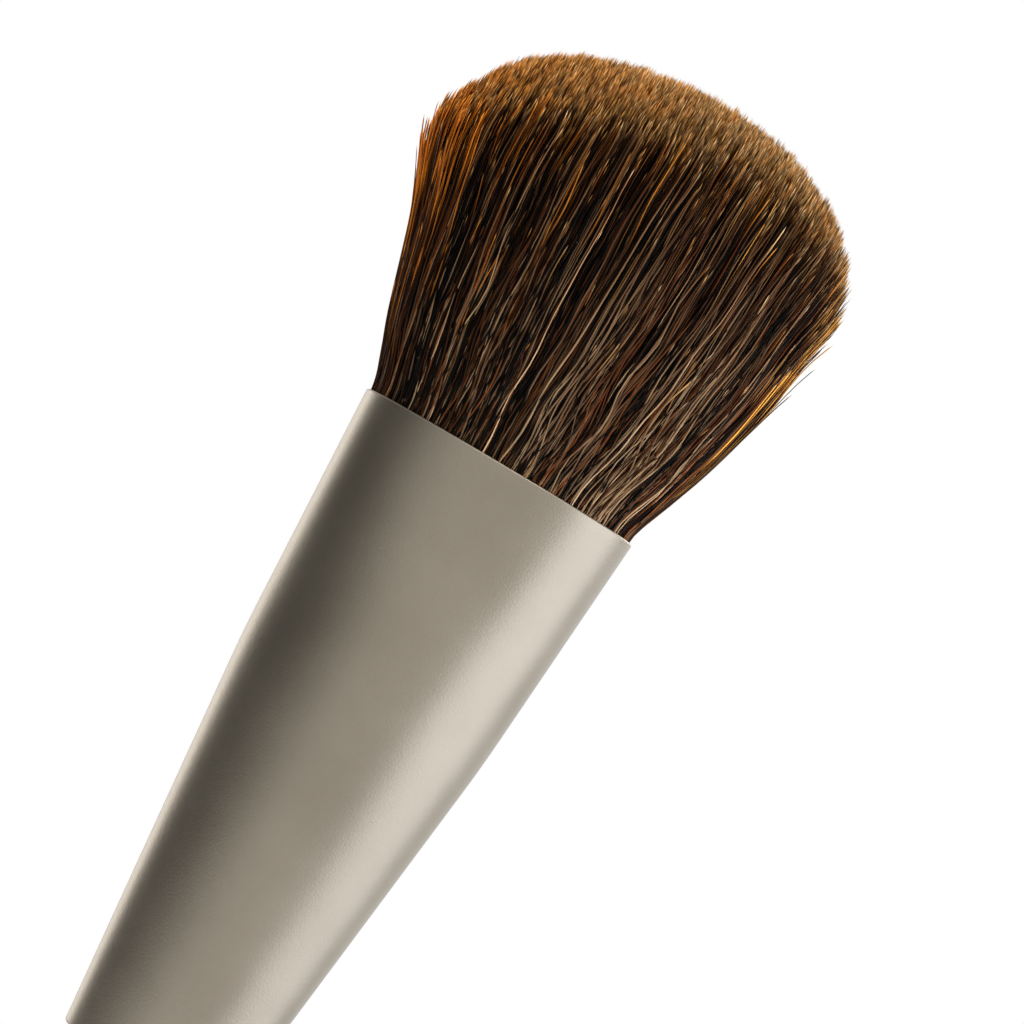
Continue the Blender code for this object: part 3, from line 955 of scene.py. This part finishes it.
# Each group's strands stand evenly over their share of the section, in pieces that are sectors.
def makeHair():
    finish = makeHairFinish()
    for label, group in strandGroups.items():
        count, rings, sides = group["count"], group["rings"], group["sides"]
        least, most = group["shares"]
        share = np.sqrt(random.uniform(least ** 2, most ** 2, count))
        angle = random.uniform(0, 2 * np.pi, count)
        ends = strandEnds(share, angle, group)
        lines, tips, nearest = strandLines(share, angle, group, ends, label == "inner")
        uneven = random.normal(0, 1, count).clip(-2, 2)
        size = hair["radius"] * group["size"] * (1 + hair["radiusSpread"] * uneven)
        taper = clipped((tips[:, None] - lines[..., 2]) / hair["tipLength"])
        radii = size[:, None] * (group["thin"] + (1 - group["thin"]) * taper)
        chance = random.uniform(0, 1, count)
        shared = random.uniform(0, 1, count) < hair["clumpTone"]
        chance = np.where(shared, clumps["chance"][nearest], chance)
        columns = pickColumns(share, angle, chance, float(label == "stray"), group["reach"])
        triangles = count * (2 * sides * rings - 2)
        pieces = math.ceil(triangles / hair["pieceTriangles"])
        sector = np.floor(angle / (2 * np.pi) * pieces).astype(int)
        for number in range(pieces):
            chosen = sector == number
            name = "hair_{}_{:02d}".format(label, number)
            piece = strandMesh(name, lines[chosen], sides, radii[chosen], tips[chosen],
                               columns[chosen])
            piece.data.materials.append(finish)
            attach(piece, body)
            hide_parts("bristle_knot")
        print("hair,", label, "strands:", count, "in", pieces, "pieces,", triangles, "triangles")


makeHair()


# Core of packed hair

packed = {
    "share": 0.82,               # of the bundle's radius, above the mouth
    "rootShare": 0.96,           # and in the ferrule
    "depth": 5.0 * mm,           # below the dome of tips
    "columns": 96,
    "sideRows": 40,
    "domeRows": 24,
    "darkColour": "0d0906",
    "paleColour": "2a1a0f",
    "toneSpan": (0.4, 0.65),
    "fibres": {"Scale": 6000.0, "Detail": 3.0},
    "fibreStretch": 0.03,
    "roughness": 0.7,
    "roughnessSpread": 0.1,
    "specular": 0.2,
    "grainScale": 5000.0,
    "bump": 0.4,
    "bumpDistance": 0.1 * mm,
}


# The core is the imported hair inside: glued roots below, and above the mouth a smaller head that
# keeps its depth below the dome. Its profile is a share of the bundle's radius at each height,
# under a quarter of an ellipse.
def makeCore():
    top = mouthHeight + head["widestHeight"] + head["domeHeight"] - packed["depth"]
    low = mouthHeight + head["widestHeight"] - packed["depth"]
    side = np.linspace(knotLow.z, low, packed["sideRows"])
    wide = bundleRadius(side) * np.where(side < mouthHeight, packed["rootShare"], packed["share"])
    arc = np.linspace(0, np.pi / 2, packed["domeRows"])[1:]
    profile = np.concatenate([
        np.stack([wide[-1] * np.cos(arc), low + (top - low) * np.sin(arc)], 1)[::-1],
        np.stack([wide, side], 1)[::-1],
        [(0, side[0])],
    ])
    profile[0, 0] = 0    # on the axis
    core = turnProfile("hair_core", profile, packed["columns"])
    core.data.materials.append(makeFinish("packedHair", packed))
    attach(core, body)
    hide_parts("bristle_knot")


makeCore()
print("hair made")


# Studio: pale floor, white background, soft dome of light and lamps

studio = {
    "floorRadius": 250 * mm,
    "floorSides": 96,
    "floorColour": "eeeff2",
    "roughness": 0.9,                 # of the floor
    "specular": 0.1,
    "fadeSpan": (70 * mm, 210 * mm),  # from the middle, over which the floor turns to white
    "domeColour": "fffcf6",
    "sideLevels": (0.09, 0.85),       # of the dome's light at the left and from near the middle on
    "sideSpan": (-0.95, -0.3),        # X share of a direction over which it rises
    "lowLevel": 0.75,                 # share of it that comes from far below the horizon
    "lowSpan": (-0.5, 0.0),           # Z share of a direction over which that rises to all of it
    "backdropSpan": (0.72, 0.98),     # Y share of a direction over which the backdrop sets in
}


# A flat disc, whose paint turns to plain white for the camera towards its edge.
def makeFloor():
    sides = studio["floorSides"]
    angle = np.arange(sides) * 2 * np.pi / sides
    points = np.stack([np.cos(angle), np.sin(angle), 0 * angle], 1) * studio["floorRadius"]
    floor = addMesh("floor", points, np.arange(sides), [0])
    material, tree, shader = newMaterial("floorPaint", studio)
    far = addNode(tree, "ShaderNodeVectorMath", {"operation": "LENGTH"}, {0: addPlace(tree)})
    fade = addRange(tree, far.outputs["Value"], studio["fadeSpan"], smooth=True)
    path = addNode(tree, "ShaderNodeLightPath")
    feed(tree, shader, {
        "Base Color": hexColour(studio["floorColour"]),
        "Emission Color": (1, 1, 1, 1),
        "Emission Strength": addProduct(tree, path.outputs["Is Camera Ray"], fade),
    })
    floor.data.materials.append(material)


# The world is white to the camera everywhere and to reflections where the backdrop stands,
# behind the brush. Its light rises from the left to the middle and stays level to the right,
# and is weaker from below.
def makeWorld():
    world = bpy.data.worlds.new("studio")
    bpy.context.scene.world = world
    world.use_nodes = True
    tree = world.node_tree
    background = tree.nodes["Background"]
    path = addNode(tree, "ShaderNodeLightPath")
    place = addNode(tree, "ShaderNodeTexCoord")
    x, y, z = addParts(tree, place.outputs["Generated"])
    sideLevel = addRange(tree, x, studio["sideSpan"], studio["sideLevels"])
    lowLevel = addRange(tree, z, studio["lowSpan"], (studio["lowLevel"], 1))
    level = addProduct(tree, sideLevel, lowLevel)
    behind = addRange(tree, y, studio["backdropSpan"], smooth=True)
    glossy, through = path.outputs["Is Glossy Ray"], path.outputs["Is Transmission Ray"]
    reflected = addProduct(tree, addMaths(tree, "MAXIMUM", glossy, through), behind)
    white = addMaths(tree, "MAXIMUM", path.outputs["Is Camera Ray"], reflected)
    missing = addProduct(tree, white, addMaths(tree, "SUBTRACT", 1.0, level))
    colour = addMix(tree, white, hexColour(studio["domeColour"]), (1, 1, 1, 1))
    feed(tree, background, {"Color": colour, "Strength": addMaths(tree, "ADD", level, missing)})


lamps = {
    # azimuth from the front to the right, elevation, distance, width, height, radiance, colour
    "right_softbox": (87, 8, 450, 590, 520, 1.7, "edf2ff"),
    "top_softbox": (20, 70, 500, 300, 300, 2.6, "fffaf2"),
    "left_rim": (-146, -5, 500, 150, 260, 2.1, "fff8ee"),
    "right_rim": (152, 25, 500, 90, 320, 4.2, "fff6e8"),
}


# A lamp's power is its radiance times pi times its area. Its angles are in degrees, its sizes in
# millimetres, and it stands round the ferrule's mouth and faces it.
def makeLamps():
    for name, (azimuth, elevation, distance, width, height, radiance, colour) in lamps.items():
        data = bpy.data.lights.new(name, "AREA")
        data.shape = "RECTANGLE"
        data.size, data.size_y = width * mm, height * mm
        data.energy = radiance * math.pi * data.size * data.size_y
        data.color = hexColour(colour)[:3]
        turn, rise = math.radians(azimuth), math.radians(elevation)
        level = math.cos(rise)
        toward = Vector((math.sin(turn) * level, -math.cos(turn) * level, math.sin(rise)))
        lamp = bpy.data.objects.new(name, data)
        lamp.location = Vector((0, 0, mouthHeight)) + toward * distance * mm
        lamp.rotation_euler = toward.to_track_quat("Z", "Y").to_euler()
        bpy.context.scene.collection.objects.link(lamp)


makeFloor()
makeWorld()
makeLamps()
bpy.context.scene.view_settings.view_transform = "Standard"
print("studio made")
